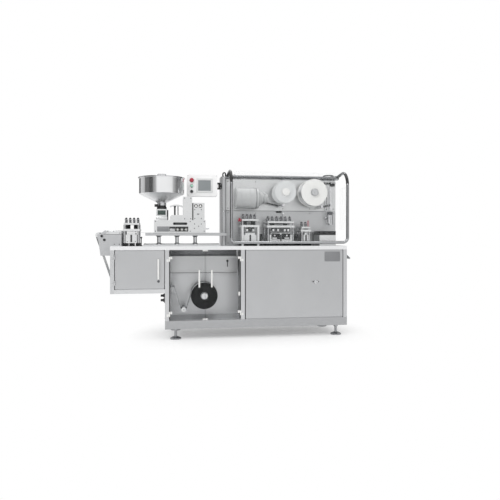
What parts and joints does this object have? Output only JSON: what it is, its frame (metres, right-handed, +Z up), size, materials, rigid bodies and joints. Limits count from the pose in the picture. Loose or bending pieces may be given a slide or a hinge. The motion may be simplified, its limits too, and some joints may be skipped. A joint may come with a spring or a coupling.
{
  "type": "blister packing machine",
  "caption": "Flat-plate blister packing machine: stainless cabinet with film bay and infeed wing, hopper feeder, control panel and press stations under a lifting clear guard.",
  "frame": {"origin": "centre of the footprint's box, at floor level", "axes": "+X along the film from infeed to outfeed, +Y from the front to the rear, +Z up"},
  "size_m": [2.412, 0.6089, 1.5851],
  "materials": {
    "satin_steel": "satin stainless sheet",
    "bright_steel": "polished stainless bar",
    "polished_steel": "polished stainless sheet",
    "dark_steel": "zinc-plated and dulled",
    "black_steel": "blackened steel",
    "aluminium": "machined",
    "white_plastic": "moulded",
    "black_plastic": "moulded",
    "grey_plastic": "moulded",
    "red_plastic": "moulded",
    "white_paint": "powder coat",
    "grey_paint": "enamel",
    "film": "clear hard film",
    "screen": "touch screen in its bezel",
    "clear_acrylic": "clear acrylic sheet"
  },
  "bodies": {
    "frame": {"levelling_feet": "dark_steel", "frame_rails": "satin_steel", "frame_posts": "satin_steel", "cabinet_floor": "satin_steel", "skin_panels": "satin_steel", "bay_partition": "satin_steel", "reel_wall": "satin_steel", "bay_cover": "satin_steel", "table_top": "satin_steel", "door_pivots": "bright_steel", "clear_hinges": "white_plastic", "reel_spindles": "bright_steel", "film_guides": "aluminium", "film_web": "film", "station_bases": "black_steel", "station_blocks": "aluminium", "station_posts": "bright_steel", "station_heads": "aluminium", "station_knobs": "black_steel", "feeder_legs": "bright_steel", "feeder_track": "satin_steel", "feeder_body": "satin_steel", "feeder_neck": "black_plastic", "feeder_column": "satin_steel", "control_box": "satin_steel", "hopper": "polished_steel", "hmi_bracket": "black_plastic", "rear_housing": "satin_steel", "wall_plates": "satin_steel", "guard_hinge_rail": "bright_steel", "winder_motor": "grey_paint", "wall_fittings": "bright_steel", "outfeed": "satin_steel", "power_inlet": "black_plastic"},
    "wing_door": {"wing_door": "satin_steel", "wing_handle": "white_plastic"},
    "clear_door_left": {"clear_door_left": "clear_acrylic", "clear_left_fittings": "white_plastic"},
    "clear_door_right": {"clear_door_right": "clear_acrylic", "clear_right_fittings": "white_plastic"},
    "main_door": {"main_door": "satin_steel", "main_lock": "bright_steel"},
    "film_reel": {"reel_flanges": "black_plastic", "film_roll": "film", "reel_hub": "grey_plastic"},
    "foil_reel": {"foil_flanges": "white_plastic", "foil_roll": "aluminium", "foil_hub": "grey_plastic"},
    "second_reel": {"winder_flanges": "grey_plastic", "winder_hub": "white_plastic"},
    "infeed_roller": {"infeed_roller": "aluminium"},
    "bay_roller": {"bay_roller": "aluminium"},
    "hopper_lid": {"hopper_lid": "polished_steel"},
    "control_panel": {"hmi_yoke": "black_plastic", "hmi_box": "white_paint", "hmi_screen": "screen", "hmi_buttons": "black_plastic", "emergency_stop": "red_plastic"},
    "guard": {"guard_frame": "bright_steel", "guard_panes": "clear_acrylic"}
  },
  "joints": [
    {"name": "wing_door_hinge", "type": "hinge", "parent": "frame", "child": "wing_door", "pos_m": [-1.018, -0.2655, 0.6415], "axis": [0, 0, -1], "range_deg": [0, 110]},
    {"name": "clear_left_hinge", "type": "hinge", "parent": "frame", "child": "clear_door_left", "pos_m": [-0.532, -0.2655, 0.496], "axis": [0, 0, -1], "range_deg": [0, 110]},
    {"name": "clear_right_hinge", "type": "hinge", "parent": "frame", "child": "clear_door_right", "pos_m": [0.123, -0.2655, 0.496], "axis": [0, 0, 1], "range_deg": [0, 110]},
    {"name": "main_door_hinge", "type": "hinge", "parent": "frame", "child": "main_door", "pos_m": [0.178, -0.2485, 0.496], "axis": [0, 0, 1], "range_deg": [-100, 0]},
    {"name": "film_reel_spin", "type": "hinge", "parent": "frame", "child": "film_reel", "pos_m": [-0.2065, -0.0475, 0.382], "axis": [0, 1, 0], "continuous": true},
    {"name": "foil_reel_spin", "type": "hinge", "parent": "frame", "child": "foil_reel", "pos_m": [0.86821, -0.0475, 1.377], "axis": [0, 1, 0], "continuous": true},
    {"name": "second_reel_spin", "type": "hinge", "parent": "frame", "child": "second_reel", "pos_m": [0.58057, -0.0475, 1.377], "axis": [0, 1, 0], "continuous": true},
    {"name": "infeed_roller_spin", "type": "hinge", "parent": "frame", "child": "infeed_roller", "pos_m": [-1.1826, -0.0475, 0.9566], "axis": [0, 1, 0], "continuous": true},
    {"name": "bay_roller_spin", "type": "hinge", "parent": "frame", "child": "bay_roller", "pos_m": [-0.4, -0.0475, 0.255], "axis": [0, 1, 0], "continuous": true},
    {"name": "lid_lift", "type": "slide", "parent": "frame", "child": "hopper_lid", "axis": [0, 0, 1], "range_m": [0, 0.2]},
    {"name": "panel_swivel", "type": "hinge", "parent": "frame", "child": "control_panel", "pos_m": [-0.047, 0.0725, 1.444], "axis": [0, 0, 1], "range_deg": [-20, 60]},
    {"name": "guard_lift", "type": "hinge", "parent": "frame", "child": "guard", "pos_m": [0.602, 0.1025, 1.547], "axis": [-1, 0, 0], "range_deg": [0, 80]}
  ]
}
